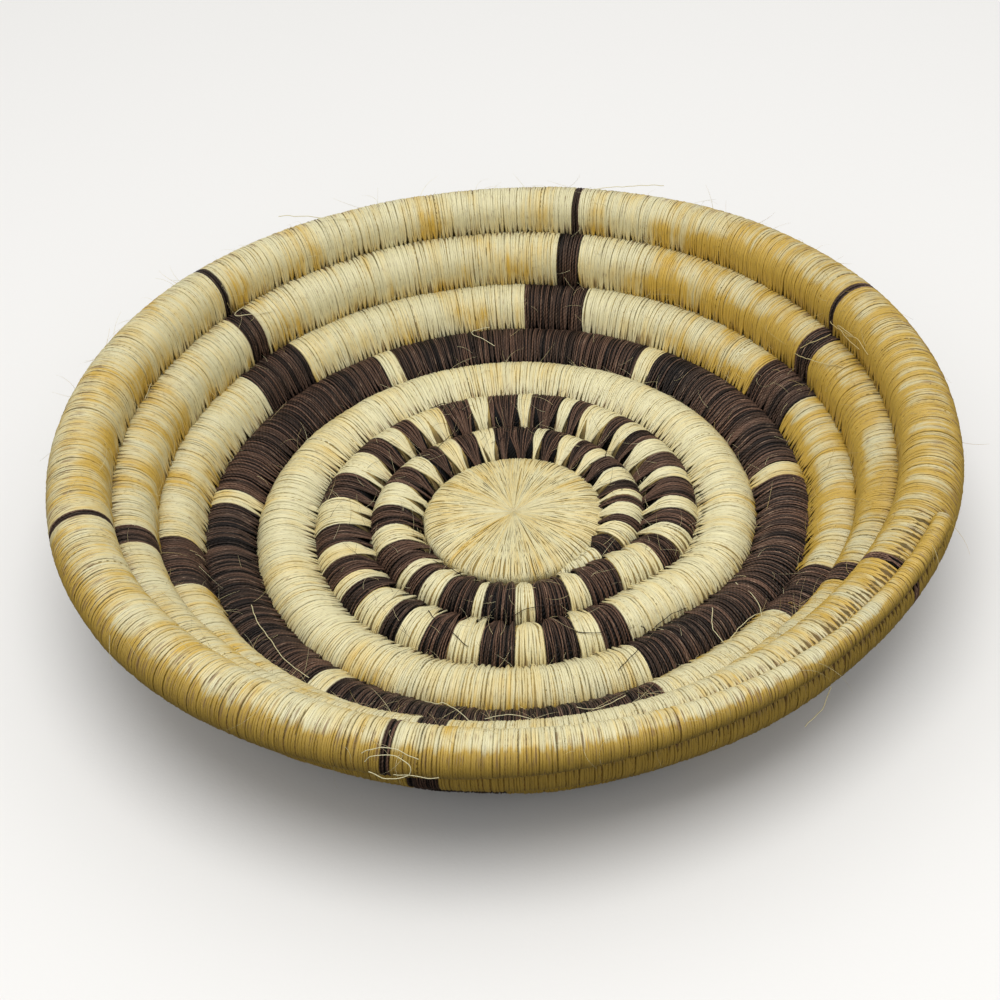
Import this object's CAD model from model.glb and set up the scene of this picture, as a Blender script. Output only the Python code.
"""Looks of the coiled wall basket: fibre threads wound round one long coil, a button of radial stitches,
loose fibres, and a pale studio stage. Laid out as an add-on and run as a script.

Angles along the coil are winding angles, counted from where the coil leaves the button. Round one thread,
the angle is nought towards the turn before, a quarter turn on the side that shows in the bowl, and half a
turn towards the turn after.
"""

import random
from math import acos, ceil, cos, pi, radians, sin, tau

import bpy
from bpy.props import FloatProperty, FloatVectorProperty, IntProperty, PointerProperty
from mathutils import Matrix, Vector, noise


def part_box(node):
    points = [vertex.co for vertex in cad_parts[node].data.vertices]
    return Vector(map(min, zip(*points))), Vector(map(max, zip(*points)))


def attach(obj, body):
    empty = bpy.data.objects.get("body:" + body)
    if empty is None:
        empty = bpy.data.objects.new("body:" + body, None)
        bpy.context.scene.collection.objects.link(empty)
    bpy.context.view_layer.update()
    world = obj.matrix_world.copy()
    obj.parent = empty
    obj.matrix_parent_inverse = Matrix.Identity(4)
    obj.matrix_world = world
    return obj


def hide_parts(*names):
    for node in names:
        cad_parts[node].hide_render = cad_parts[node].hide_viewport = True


bl_info = {
    "name": "Coiled wall basket",
    "version": (1, 0, 0),
    "blender": (4, 5, 0),
    "location": "3D View > Sidebar > Basket",
    "description": "Winds, stitches and lights a coiled fibre basket round its packed model",
    "category": "Object",
}

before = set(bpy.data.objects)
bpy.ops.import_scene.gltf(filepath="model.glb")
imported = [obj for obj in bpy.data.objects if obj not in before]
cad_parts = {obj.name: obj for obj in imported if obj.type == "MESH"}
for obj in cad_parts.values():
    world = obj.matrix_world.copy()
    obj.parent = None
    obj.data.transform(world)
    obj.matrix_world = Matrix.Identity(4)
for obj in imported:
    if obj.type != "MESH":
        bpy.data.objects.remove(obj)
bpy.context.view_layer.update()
BUTTON_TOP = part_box("centre_button")[1].z

# Colour chart, in degrees of winding: natural gap, then brown band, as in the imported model
STRIPES = (
    (17, 11), (10, 6), (10, 5), (4, 8), (10, 10), (8, 9), (9, 10), (5, 21), (10, 10), (10, 10), (9, 12),
    (16, 14), (12, 17), (5, 6.5), (9.5, 14), (3.5, 13), (7.5, 13.5), (7.5, 15.5), (16, 7.5), (7.5, 8),
    (6.5, 10.5), (5.5, 8.5), (8, 6.5), (5.5, 5.5), (11, 5.5), (5, 11), (5, 11), (7, 10.5), (11.5, 6),
    (7, 9), (11, 12.5), (13, 9.5), (6.5, 8), (4.5, 6.5), (10, 5.5), (7.5, 8), (8.5, 9.5), (8, 9), (6.5, 8))
DARK_ROUND = (1072, 1430)
DARK_ROUND_GAPS = (61, 111, 173, 229, 288)
DARK_ROUND_TURN = 3
# Turn, name, width and middles of the brown marks whose six arms climb the wall
ARM_STEPS = (
    (4, "wall_block", 12.5, (24, 81, 135, 195, 251.5, 317)),
    (5, "wall_bar", 4.0, (24, 80.5, 133, 195, 251.5, 314)),
    (6, "rim_line", 1.2, (22, 81, 132.5, 195.5, 253, 311)))
GAP_WIDTH = 4.0

# Long loose fibres as they lie in the photo. Each point: winding angle, angle round the coil (degrees) and
# height above the threads (mm)
PALE_STRANDS = (
    ((1343, 80, 0.3), (1348, 88, 0.8), (1352, 92, 0.4), (1360, 104, 0.6), (1366, 108, 0.3)),
    ((2468.9, 215, 0.3), (2469.8, 198, 1.2), (2472.0, 193, 1.8), (2473.8, 204, 2.2), (2473.9, 222, 2.4),
     (2472.8, 234, 2.2), (2471.0, 237, 1.8), (2469.5, 229, 1.4)),
    ((2468.5, 200, 0.3), (2469.3, 190, 1.0), (2470.6, 183, 1.5), (2472.2, 184, 1.5), (2473.6, 191, 1.0),
     (2474.6, 199, 0.3)),
    ((2472, 240, 0.3), (2473, 235, 1.0), (2474.4, 233, 1.4), (2475.8, 237, 1.0), (2476.8, 243, 0.3)),
    ((1103, 52, 0.3), (1101, 112, 1.2), (1455, 68, 0.5)),
    ((1093, 76, 0.3), (1089, 112, 0.8), (1445, 92, 0.5)),
    ((1458, 100, 0.3), (1456, 80, 1.0), (1098, 132, 1.0), (1447, 68, 1.0)),
    ((2241, 44, 0.3), (2238, 52, 1.0), (2233, 68, 1.0), (2229, 64, 0.4)),
    ((2236, 50, 0.3), (2234, 68, 1.2), (2238, 60, 2.0), (2232, 52, 0.4)),
    ((1883, 60, 0.3), (1877, 84, 0.8), (1872, 116, 0.4)),
    ((1882, 80, 0.3), (1880, 112, 1.2), (1880, 144, 0.4)),
    ((1387, 50, 0.3), (1390, 72, 1.0), (1391, 60, 1.0), (1395, 92, 1.2), (1398, 120, 0.5)),
    ((1399, 92, 0.3), (1404, 88, 0.8), (1408, 100, 0.3)),
    ((1415, 80, 0.3), (1418, 100, 1.2), (1424, 80, 0.3)),
    ((2165, 250, 0.3), (2163, 262, 3.0), (2160, 270, 5.0)),
    ((1228, 60, 0.3), (1233, 95, 1.5), (1229, 120, 0.5)),
    ((2020, 150, 0.3), (2012, 165, 3.0), (2003, 180, 5.5)),
    ((1990, 100, 0.3), (1996, 130, 1.6), (1993, 150, 0.5)),
    ((2330, 120, 0.3), (2336, 150, 2.5), (2340, 170, 5.0)),
    ((2290, 150, 0.3), (2284, 165, 2.5), (2280, 185, 4.0)))
DARK_STRANDS = (
    ((275, 40, 0.3), (293, 52, 0.8), (304, 56, 0.3)),
    ((313, 56, 0.3), (310, 56, 0.8), (308, 40, 0.4)),
    ((722, 152, 0.3), (728, 140, 1.0), (734, 144, 0.3)),
    ((719, 136, 0.3), (722, 160, 1.0), (1082, 70, 0.5)),
    ((321, 148, 0.3), (334, 132, 0.8), (345, 136, 0.3)),
    ((700, 100, 0.3), (708, 120, 1.0), (712, 90, 0.3)),
    ((655, 60, 0.3), (662, 90, 1.0), (672, 120, 0.3)),
    ((140, 120, 0.3), (146, 90, 1.0), (152, 60, 0.3)),
    ((170, 150, 0.3), (176, 110, 1.2), (186, 90, 0.3)),
    ((520, 60, 0.3), (528, 100, 1.2), (532, 140, 0.3)),
    ((95, 130, 0.3), (88, 90, 1.0), (92, 60, 0.3)),
    ((1078, 60, 0.3), (1071, 90, 1.4), (1066, 110, 0.4)))


def declare(kind, **settings):
    """A short way to write one kind of property: its name, what it is and its default."""
    return lambda name, text, value: kind(name=name, description=text, default=value, **settings)


length = declare(FloatProperty, subtype="DISTANCE", unit="LENGTH", precision=5)
point = declare(FloatVectorProperty, size=3, subtype="TRANSLATION", unit="LENGTH", precision=5)
share = declare(FloatProperty, min=0.0, max=1.0, subtype="FACTOR")
number = declare(FloatProperty)
lens_length = declare(FloatProperty, unit="CAMERA")
power = declare(FloatProperty, unit="POWER")
count = declare(IntProperty, min=1)
colour = declare(FloatVectorProperty, min=0.0, max=1.0, size=3, subtype="COLOR")


def angle(name, text, value):
    """The same for an angle, whose default is given in degrees."""
    return declare(FloatProperty, subtype="ANGLE", unit="ROTATION")(name, text, radians(value))


# Materials of the threads and of the core, and what a finished mesh keeps for them
NATURAL, BROWN, GRASS = "undyed_threads", "dyed_threads", "grass_stems"
KEPT_ATTRIBUTES = ("girth", "lane", "tint", "upward", "outward", "crown", "groove")

# Fewest and most threads of a stitch: on the plain stretches, in the striped bands, and on the outside
FINE_STITCH = (2, 3)
BAND_STITCH = (9, 13)
BACK_STITCH = (4, 7)
# How far round the coil the threads of such a stitch run on until they lie side by side
FINE_GATHER = radians(24.0)
BAND_GATHER = radians(65.0)
PITCH_JITTER = 0.3          # how unevenly threads and holes are spread, as a share of the pitch
BITE_JITTER = 0.3           # the same for how deep a stitch bites
UNEVEN_INNER = 1.5          # how much threads stray in the middle of the bowl, and how much less at the rim
UNEVEN_LOSS = 0.9
GIRTHS = (0.88, 1.2)        # narrowest and widest thread, as shares of its width
HOLE_SQUEEZE = 0.25         # how much narrower a thread is at its hole, and where the next turn pushes it
FAR_SQUEEZE = 0.2
OWN_WAYS = 97.0             # keeps the ways of neighbouring threads apart

# The coil: its start under the button, its rest on the table, and the unevenness of hand work
LEAD_TAPER = 0.7            # how much thinner it starts
FLAT_SIDE = cos(pi / 8.0)   # height of its middle where it rests, as a share of its radius, as packed
WOBBLE_RATE = 3.1           # how fast it strays from its line, and how fast it swells
SWELL_RATE = 5.3
SWELL_SHARE = 0.6           # how far it swells, as a share of how far it strays
FLOOR_LIFT = 0.0001         # lowest place above the table

# The padding under the threads, and the bundle of stems in the core
PADDING_TINT = -1.0         # marks the bottom of the gaps for the materials
PADDING_RIDGE = radians(30.0)
PADDING_SINK = 0.8          # how far the padding lies below the threads, as a share of their height
STEMS = 5.0                 # stems in half the bundle's girth
STEM_TWIST = 40.0           # how fast they twist along it, in radians a metre
CORE_COARSER = 3.0          # how much coarser its rings are than the padding's

# The button
BUTTON_INSET = 0.0010       # how far its hidden edge stays inside its threads where the coil starts
BUTTON_BOW = 0.0006         # how far a thread bows to its side
BUTTON_FLATNESS = 5.0       # how flat its top is before it turns down
DIMPLE_REACH = 0.35         # how far its dimple reaches, as a share of its radius
BUTTON_SEGMENTS = 32

# Loose fibres
FIBRE_ROOT = 0.0002         # how deep they start among the threads
SHORT_SEGMENTS = 7
STRAND_SEGMENTS = 40
STRAND_WAVES = 160.0        # how often a long strand wavers, a metre

# Name, place and size of each lamp, and the setting that holds its power
LAMPS = (("key_lamp", (0.0, -0.25, 1.15), 0.8, "key"), ("fill_lamp", (0.5, -0.9, 0.8), 0.9, "fill"))


class BasketShape(bpy.types.PropertyGroup):
    """Driving sizes of the coil and of the bowl that it climbs."""
    start: angle("Start", "Direction, seen from above, in which the coil leaves the button", -57.0)
    end: angle("End", "Winding angle at the tip of the tail", 2550.0)
    lead: angle("Lead", "Winding over which the coil slips out from under the button", 12.0)
    button_reach: length("Button reach", "Radius of the button where the coil leaves it", 0.0252)
    button_round: length("Button round", "Radius of the button over its threads", 0.0276)
    button_ring: length("Button ring", "Height of the button's widest ring", 0.0106)
    button_settle: length("Button settle", "How far the stitched button lies below its packed top", 0.0022)
    button_dimple: length("Button dimple", "Depth of the dimple where its threads cross", 0.0010)
    button_spread: length("Button spread", "How far its hidden edge widens in the first round", 0.0058)
    nose: length("Nose", "Thickness with which the coil leaves the button", 0.0065)
    nose_angle: angle("Nose angle", "Winding over which the nose grows", 40.0)
    early: length("Early thickness", "Thickness of the coil after its nose", 0.0140)
    growth: angle("Growth", "Winding over which the coil reaches its full thickness", 690.0)
    full: length("Full thickness", "Thickness of the coil on the wall and rim", 0.0178)
    tail_angle: angle("Tail", "Winding over which the coil thins out on the rim", 125.0)
    thin: length("Thin stretch", "How much thinner the rim is at the middle of its thin stretch", 0.0030)
    thin_middle: angle("Thin stretch at", "Winding angle of the middle of the rim's thin stretch", 2307.0)
    thin_reach: angle("Thin stretch reach", "Winding from that middle to the full thickness", 75.0)
    tail_share: share("Tail share", "Thickness left at the tip of the tail", 0.3)
    nose_height: length("Nose height", "Height of the coil's middle where it leaves the button", 0.0066)
    floor_reach: length("Floor reach", "How far the flat floor goes from the middle", 0.078)
    lean: angle("Wall lean", "Slope of the wall above the floor", 52.0)
    turn_up: length("Turn up radius", "Radius of the bend between floor and wall", 0.0353)
    wobble: length("Wobble", "How far hand work moves the coil from its line", 0.0004)
    dome: length("Dome", "How far the first round rises above its packed place", 0.0022)
    dome_start: angle("Dome start", "Winding up to which it keeps that rise", 260.0)
    dome_end: angle("Dome end", "Winding past which the coil lies flat again", 800.0)


class BasketThread(bpy.types.PropertyGroup):
    """Sizes of the threads and of how they are stitched."""
    pitch: length("Pitch", "Distance between neighbouring threads", 0.00060)
    width: length("Width", "Width of a thread", 0.00106)
    height: length("Height", "How far a thread stands proud of the layer below", 0.00034)
    bite: length("Bite", "Reach of a stitch beyond its own coil, to its hole in the turn before", 0.0021)
    hole: angle("Hole", "How far a hole lies from the line between the two turns", 17.0)
    back_hole: angle("Back hole", "The same on the outside of the bowl", 17.0)
    gather: share("Gather", "How far the threads of a stitch draw together at its hole", 0.68)
    band_gather: share("Band gather", "The same in the striped rounds", 0.55)
    far_gather: share("Far gather", "How far the stitches of the next turn push the threads together", 0.80)
    far_edge: angle("Far edge", "How far from the next turn the threads are pushed together most", 19.0)
    brown_width: length("Brown width", "Width of a brown thread", 0.00076)
    brown_height: length("Brown height", "How far a brown thread stands proud of the layer below", 0.00050)
    lean: angle("Lean", "How far the threads lean along the coil", 3.0)
    tilt: angle("Tilt", "Largest random tilt of a thread", 1.2)
    raise_by: length("Raise", "Largest random height of a thread", 0.00011)
    wander: length("Wander", "How far a thread strays to its sides on its way round", 0.00026)
    segments: count("Segments", "Straight pieces in one thread's loop", 26)
    sides: count("Sides", "Sides of the padding under the threads", 24)
    padding_step: length("Padding step", "Distance between the padding's rings", 0.0025)
    press: length("Press", "Height up to which the underside is pressed flat", 0.0022)
    press_share: share("Press share", "How much of that height the pressed threads keep", 0.55)
    stitches: count("Button stitches", "Radial threads on the button", 640)
    button_width: length("Button thread", "Width of a button thread", 0.0008)
    button_height: length("Button thread height", "How far a button thread stands proud", 0.0003)
    fibres: count("Loose fibres", "Short fibres that stand off the threads", 1700)
    dark_fibres: count("Dark loose fibres", "Short brown fibres near the brown bands", 240)
    fine_fibre: length("Fine fibre", "Thickness of a short loose fibre", 0.00012)
    long_fibre: length("Long fibre", "Thickness of a long loose strand", 0.00026)
    waver: length("Waver", "How far a long strand wavers", 0.0016)
    seed: count("Seed", "Starts the random numbers", 7)


class BasketColours(bpy.types.PropertyGroup):
    """Colours of the fibres."""
    pale: colour("Pale fibre", "Lightest natural fibre, on crowns that face up", (0.705, 0.650, 0.395))
    straw: colour("Straw fibre", "Common natural fibre", (0.69, 0.575, 0.275))
    gold: colour("Gold fibre", "Deepest natural fibre, on flanks and shaded sides", (0.61, 0.400, 0.062))
    fleck: colour("Fleck", "Dark flecks between natural fibres", (0.22, 0.13, 0.05))
    umber: colour("Umber fibre", "Common brown fibre", (0.048, 0.032, 0.024))
    russet: colour("Russet fibre", "Redder brown fibre", (0.110, 0.062, 0.041))
    soot: colour("Soot fibre", "Darkest brown fibre", (0.018, 0.015, 0.014))
    frayed: colour("Frayed brown", "Paler ends of the brown fibres", (0.300, 0.215, 0.150))
    under: share("Under layer", "Brightness of the fibre that shows in the gaps between threads", 0.5)
    grass: colour("Dry grass", "Stems of the foundation", (0.42, 0.30, 0.14))
    stem: colour("Stem shade", "Shaded side of the stems", (0.24, 0.15, 0.06))


class BasketStage(bpy.types.PropertyGroup):
    """Camera, lamps and floor."""
    lens: lens_length("Lens", "Focal length in millimetres on a 36 mm sensor", 66.63)
    pitch: angle("Pitch", "How steeply the camera looks down", 41.14)
    roll: angle("Roll", "How far the camera leans to its side", -4.36)
    distance: length("Distance", "From the camera to the point that it looks at", 0.5458)
    target: point("Target", "Point that the camera looks at", (-0.00388, -0.01092, 0.02804))
    floor: colour("Floor", "Colour of the floor", (0.80, 0.79, 0.77))
    floor_size: length("Floor size", "Side of the floor", 6.0)
    key: power("Key lamp", "Power of the large lamp above, in watts", 7.2)
    fill: power("Fill lamp", "Power of the lamp on the other side, in watts", 0.5)
    sky: number("Sky", "Strength of the light from straight above", 0.87)
    horizon: share("Horizon", "Share of that strength at the horizon", 0.40)
    bounce: share("Floor bounce", "Share of its light that the floor gives back to the basket", 0.12)


def operation(name, reflected=False):
    """A method that adds one Math node, to a part and what it is reckoned with."""
    def method(self, *others):
        values = (*others, self) if reflected else (self, *others)
        return self.nodes.maths(name, *values)
    return method


class Part:
    """An output of a node. Sums and products of parts add the Math nodes that they need."""

    def __init__(self, nodes, socket):
        self.nodes = nodes
        self.socket = socket

    def out(self, name):
        """Another output of the same node."""
        return Part(self.nodes, find_socket(self.socket.node.outputs, name))

    def vector(self, kind, other, name="Vector"):
        values = {0: self, "Scale" if kind == "SCALE" else 1: other}
        return self.nodes.add("ShaderNodeVectorMath", {"operation": kind}, values, name)

    def split(self):
        """The three numbers of a vector, of which X comes first."""
        return self.nodes.add("ShaderNodeSeparateXYZ", None, {"Vector": self})

    __add__, __radd__ = operation("ADD"), operation("ADD", True)
    __sub__, __rsub__ = operation("SUBTRACT"), operation("SUBTRACT", True)
    __mul__, __rmul__ = operation("MULTIPLY"), operation("MULTIPLY", True)
    __truediv__, __rtruediv__ = operation("DIVIDE"), operation("DIVIDE", True)
    __pow__ = operation("POWER")
    __abs__ = operation("ABSOLUTE")
    at_least = operation("MAXIMUM")
    at_most = operation("MINIMUM")
    cosine = operation("COSINE")
    sine = operation("SINE")

    def ramp(self, low, high):
        """Nought below low, one above high, and smooth in between."""
        values = {"Value": self, "From Min": low, "From Max": high}
        return self.nodes.add("ShaderNodeMapRange", {"interpolation_type": "SMOOTHSTEP"}, values)


def find_socket(sockets, name):
    usable = [socket for socket in sockets if socket.enabled]
    if isinstance(name, int):
        return usable[name]
    return next(socket for socket in usable if socket.name == name)


class Nodes:
    """Adds nodes to one tree: settings first, then the values or links of the sockets."""

    def __init__(self, tree):
        self.tree = tree

    def add(self, kind, settings=None, values=None, output=0):
        node = self.tree.nodes.new(kind)
        for name, value in (settings or {}).items():
            setattr(node, name, value)
        for name, value in (values or {}).items():
            socket = find_socket(node.inputs, name)
            for single in value if isinstance(value, list) else [value]:
                if isinstance(single, Part):
                    self.tree.links.new(single.socket, socket)
                else:
                    socket.default_value = single
        if not node.outputs:
            return None
        return Part(self, find_socket(node.outputs, output))

    def maths(self, kind, *values):
        return self.add("ShaderNodeMath", {"operation": kind}, dict(enumerate(values)))

    def attribute(self, name, kind="FLOAT"):
        """What a tree stored on a point."""
        return self.add("GeometryNodeInputNamedAttribute", {"data_type": kind}, {"Name": name})

    def read(self, name):
        """The same attribute, read by a material."""
        return self.add("ShaderNodeAttribute", {"attribute_name": name}, None, "Fac")

    def store(self, geometry, **named):
        for name, value in named.items():
            values = {"Geometry": geometry, "Name": name, "Value": value}
            settings = {"data_type": "FLOAT", "domain": "POINT"}
            geometry = self.add("GeometryNodeStoreNamedAttribute", settings, values)
        return geometry

    def move(self, geometry, place):
        return self.add("GeometryNodeSetPosition", None, {"Geometry": geometry, "Position": place})

    def join(self, *geometries):
        return self.add("GeometryNodeJoinGeometry", None, {"Geometry": list(geometries)})

    def tube(self, line, profile, caps=True):
        values = {"Curve": line, "Profile Curve": profile, "Fill Caps": caps}
        return self.add("GeometryNodeCurveToMesh", None, values)

    def chance(self, low, high, seed):
        values = {"Min": low, "Max": high, "Seed": seed}
        return self.add("FunctionNodeRandomValue", {"data_type": "FLOAT"}, values)

    def scatter(self, geometry, seed, first=0, **spans):
        """Stores random numbers, each between two bounds and with a seed of its own."""
        for offset, (name, span) in enumerate(spans.items(), first):
            geometry = self.store(geometry, **{name: self.chance(*span, seed * 10.0 + offset)})
        return geometry

    def vector(self, x, y, z):
        return self.add("ShaderNodeCombineXYZ", None, {0: x, 1: y, 2: z})

    def mix(self, factor, first, second, blend="MIX"):
        """Mixes two colours, each a part or three numbers."""
        first, second = (side if isinstance(side, Part) else (*side, 1.0) for side in (first, second))
        settings = {"data_type": "RGBA", "blend_type": blend, "clamp_factor": True}
        return self.add("ShaderNodeMix", settings, {"Factor": factor, "A": first, "B": second}, "Result")

    def noise(self, place, scale, detail=2.0, roughness=0.5):
        values = {"Vector": place, "Scale": scale, "Detail": detail, "Roughness": roughness}
        return self.add("ShaderNodeTexNoise", None, values)


def ease(value):
    """From nought to one, slow at both ends."""
    value = min(max(value, 0.0), 1.0)
    return value * value * (3.0 - 2.0 * value)


def thickness(shape, turned):
    """Diameter of the coil over its threads."""
    if turned < 0.0:
        return shape.nose * (1.0 + LEAD_TAPER * turned / shape.lead)
    tail = ease((turned - shape.end + shape.tail_angle) / shape.tail_angle)
    thin = ease(1.0 - abs(turned - shape.thin_middle) / shape.thin_reach)
    return (body_thickness(shape, turned) - shape.thin * thin) * (1.0 - (1.0 - shape.tail_share) * tail)


def body_thickness(shape, turned):
    """The same without the thin stretch of the rim and the tail."""
    nose = shape.nose + (shape.early - shape.nose) * ease(turned / shape.nose_angle)
    return nose + (shape.full - shape.early) * min(max((turned - shape.nose_angle) / shape.growth, 0.0), 1.0)


def inner_edge(shape, turned):
    """Distance along the bowl's profile to the side where the coil lies on the turn before."""
    if turned < tau:
        return shape.button_reach + shape.nose * max(turned, 0.0) / tau
    return inner_edge(shape, turned - tau) + thickness(shape, turned - tau)


def bowl_profile(shape, along):
    """Radius and height of the bowl, at a distance along its flat floor, its turn-up and its wall."""
    bend = min(max((along - shape.floor_reach) / shape.turn_up, 0.0), shape.lean)
    flat = min(along, shape.floor_reach)
    straight = along - flat - bend * shape.turn_up
    radius = flat + shape.turn_up * sin(bend) + straight * cos(bend)
    return radius, shape.turn_up * (1.0 - cos(bend)) + straight * sin(bend)


def coil_centre(shape, turned):
    """The middle of the coil, which rests on the floor and climbs the bowl."""
    radius, height = bowl_profile(shape, inner_edge(shape, turned) + thickness(shape, turned) / 2.0)
    height += max(body_thickness(shape, turned) / 2.0 * FLAT_SIDE, shape.nose_height)
    height += shape.dome * ease((shape.dome_end - turned) / (shape.dome_end - shape.dome_start))
    hand = noise.noise(Vector((turned * WOBBLE_RATE, 0.0, 1.7))) * shape.wobble
    direction = shape.start + turned
    return Vector(((radius + hand) * cos(direction), (radius + hand) * sin(direction), height))


def coil_frame(shape, turned):
    """The coil's centre, its way forward, the way to the turn before, and the way that shows."""
    step = radians(1.0)
    centre = coil_centre(shape, turned)
    along = (coil_centre(shape, turned + step) - coil_centre(shape, turned - step)).normalized()
    before = Vector((0.0, 0.0, centre.z)) if turned < tau else coil_centre(shape, turned - tau)
    toward = before - centre
    toward = (toward - along * toward.dot(along)).normalized()
    return centre, along, toward, along.cross(toward)


def coil_reach(shape, turned):
    """Radius of the coil over its threads, with the small swellings of hand work."""
    swell = noise.noise(Vector((turned * SWELL_RATE, 4.2, 0.0))) * shape.wobble * SWELL_SHARE
    return thickness(shape, turned) / 2.0 + swell


def winding_length(shape, start, end):
    """Length of the coil between two winding angles, by the radius halfway."""
    middle = (start + end) / 2.0
    return coil_centre(shape, middle).xy.length * (end - start)


def thread_angles(shape, thread, start, end, chance):
    """Winding angles of the threads of one run, a little unevenly spread."""
    threads = max(2, round(winding_length(shape, start, end) / thread.pitch))
    places = [number + 0.5 + chance.uniform(-PITCH_JITTER, PITCH_JITTER) for number in range(threads)]
    return [start + (end - start) * place / threads for place in places]


def stitch_groups(total, low, high, chance):
    """Splits a run's threads into stitches of a few threads each, as lists of their numbers."""
    groups = []
    first = 0
    while first < total:
        size = min(chance.randint(low, high), total - first)
        groups.append(range(first, first + size))
        first += size
    return groups


def path_object(name, rows, edges):
    """A line of points that hold the values by which the threads are wound."""
    mesh = bpy.data.meshes.new(name)
    mesh.from_pydata([row["centre"] for row in rows], edges, [])
    for key, value in rows[0].items():
        is_vector = isinstance(value, Vector)
        data = mesh.attributes.new(key, "FLOAT_VECTOR" if is_vector else "FLOAT", "POINT").data
        if is_vector:
            data.foreach_set("vector", [part for row in rows for part in row[key]])
        else:
            data.foreach_set("value", [row[key] for row in rows])
    obj = bpy.data.objects.new(name, mesh)
    bpy.context.scene.collection.objects.link(obj)
    return obj


def coil_row(shape, turned):
    """Where a thread is wound: its place, its directions, its radius and how far along the coil it is."""
    centre, along, toward, shown = coil_frame(shape, turned)
    return {
        "centre": centre, "along": along, "toward": toward, "shown": shown,
        "reach": coil_reach(shape, turned), "lane": winding_length(shape, 0.0, turned),
    }


def draw_together(band, group, thread, gather, chance, side):
    """Lets the threads of one stitch share a hole on one side of the coil."""
    middle = (band[group[0]]["lane"] + band[group[-1]]["lane"]) / 2.0
    middle += chance.uniform(-PITCH_JITTER, PITCH_JITTER) * thread.pitch
    depth = thread.bite * chance.uniform(1.0 - BITE_JITTER, 1.0 + BITE_JITTER)
    for member in group:
        row = band[member]
        row["bite" + side] = acos(row["reach"] / (row["reach"] + depth))
        row["gather" + side] = (middle - row["lane"]) * gather


def run_rows(shape, thread, bands, stitch, chance):
    """Rows and edges for the threads of one or more bands of a colour, given in degrees. stitch holds the
    fewest and most threads of a stitch as they show in the bowl. On the outside the stitches are coarser."""
    rows = []
    edges = []
    for start, end in bands:
        angles = thread_angles(shape, thread, radians(start), radians(end), chance)
        first = len(rows)
        band = [coil_row(shape, turned) for turned in angles]
        shown_gather = thread.band_gather if stitch == BAND_STITCH else thread.gather
        for side, size, gather in (
                ("", stitch, shown_gather), ("_back", BACK_STITCH, thread.gather),
                ("_far", FINE_STITCH, thread.gather)):
            for group in stitch_groups(len(band), *size, chance):
                draw_together(band, group, thread, gather, chance, side)
        for row, turned in zip(band, angles):
            row["held"] = 1.0 if turned < shape.end - tau else 0.0
            row["uneven"] = UNEVEN_INNER - UNEVEN_LOSS * turned / shape.end
        rows += band
        edges += [(number, number + 1) for number in range(first, len(rows) - 1)]
    return rows, edges


# What the inputs of the trees are, where they aren't distances
INPUT_KINDS = {
    **dict.fromkeys(("Hole", "Back hole", "Far edge", "Lean", "Tilt", "Gather angle", "Start"),
                    ("NodeSocketFloat", "ANGLE")),
    **dict.fromkeys(("Far gather", "Press share"), ("NodeSocketFloat", None)),
    **dict.fromkeys(("Segments", "Sides", "Stitches", "Seed"), ("NodeSocketInt", None)),
    "Material": ("NodeSocketMaterial", None),
}


def new_tree(name, *inputs):
    """A Geometry Nodes tree with these inputs and those that every tree has, and its first part."""
    tree = bpy.data.node_groups.new(name, "GeometryNodeTree")
    tree.interface.new_socket("Geometry", in_out="INPUT", socket_type="NodeSocketGeometry")
    for label in (*inputs, "Press", "Press share", "Material"):
        kind, subtype = INPUT_KINDS.get(label, ("NodeSocketFloat", "DISTANCE"))
        socket = tree.interface.new_socket(label, in_out="INPUT", socket_type=kind)
        if subtype:
            socket.subtype = subtype
    tree.interface.new_socket("Geometry", in_out="OUTPUT", socket_type="NodeSocketGeometry")
    nodes = Nodes(tree)
    return nodes, nodes.add("NodeGroupInput")


def counted_circle(nodes, resolution, name):
    """A unit circle whose points hold their share of the way round."""
    circle = nodes.add("GeometryNodeCurvePrimitiveCircle", {"mode": "RADIUS"}, {"Resolution": resolution})
    return nodes.store(circle, **{name: nodes.add("GeometryNodeInputIndex") / resolution})


def threads_at(nodes, points, line, caps=False):
    """A three-sided thread along the same line at each point, made real."""
    thread = nodes.tube(line, counted_circle(nodes, 3, "corner"), caps)
    threads = nodes.add("GeometryNodeInstanceOnPoints", None, {"Points": points, "Instance": thread})
    return nodes.add("GeometryNodeRealizeInstances", None, {"Geometry": threads})


def across_thread(nodes):
    """From one side of a thread to the other, minus one to one."""
    return nodes.attribute("corner") * 3.0 - 1.0


def pressed(nodes, place, given):
    """A place, with what would reach below the table squeezed into the lowest stretch."""
    parts = place.split()
    height = parts.out("Z")
    press = given.out("Press")
    squeezed = press + (height - press) * given.out("Press share")
    kept = height.at_least(press) + squeezed.at_most(press) - press
    return nodes.vector(parts.out("X"), parts.out("Y"), kept.at_least(FLOOR_LIFT))


def round_the_coil(nodes, given, geometry, turn, radius, forward):
    """Moves points to an angle and a radius round the coil's centre, and forward along the coil, and notes
    how far each faces up and out of the bowl, and how near it is to a groove between two turns."""
    toward, shown, centre, along = (
        nodes.attribute(name, "FLOAT_VECTOR") for name in ("toward", "shown", "centre", "along"))
    out = toward.vector("SCALE", turn.cosine()).vector("ADD", shown.vector("SCALE", turn.sine()))
    from_axis = centre.vector("MULTIPLY", (1.0, 1.0, 0.0))
    from_axis = nodes.add("ShaderNodeVectorMath", {"operation": "NORMALIZE"}, {0: from_axis})
    outward = out.vector("DOT_PRODUCT", from_axis, "Value")
    geometry = nodes.store(
        geometry, upward=out.split().out("Z"), groove=abs(turn.cosine()), outward=outward)
    place = centre.vector("ADD", out.vector("SCALE", radius)).vector("ADD", along.vector("SCALE", forward))
    return nodes.move(geometry, pressed(nodes, place, given))


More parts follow.
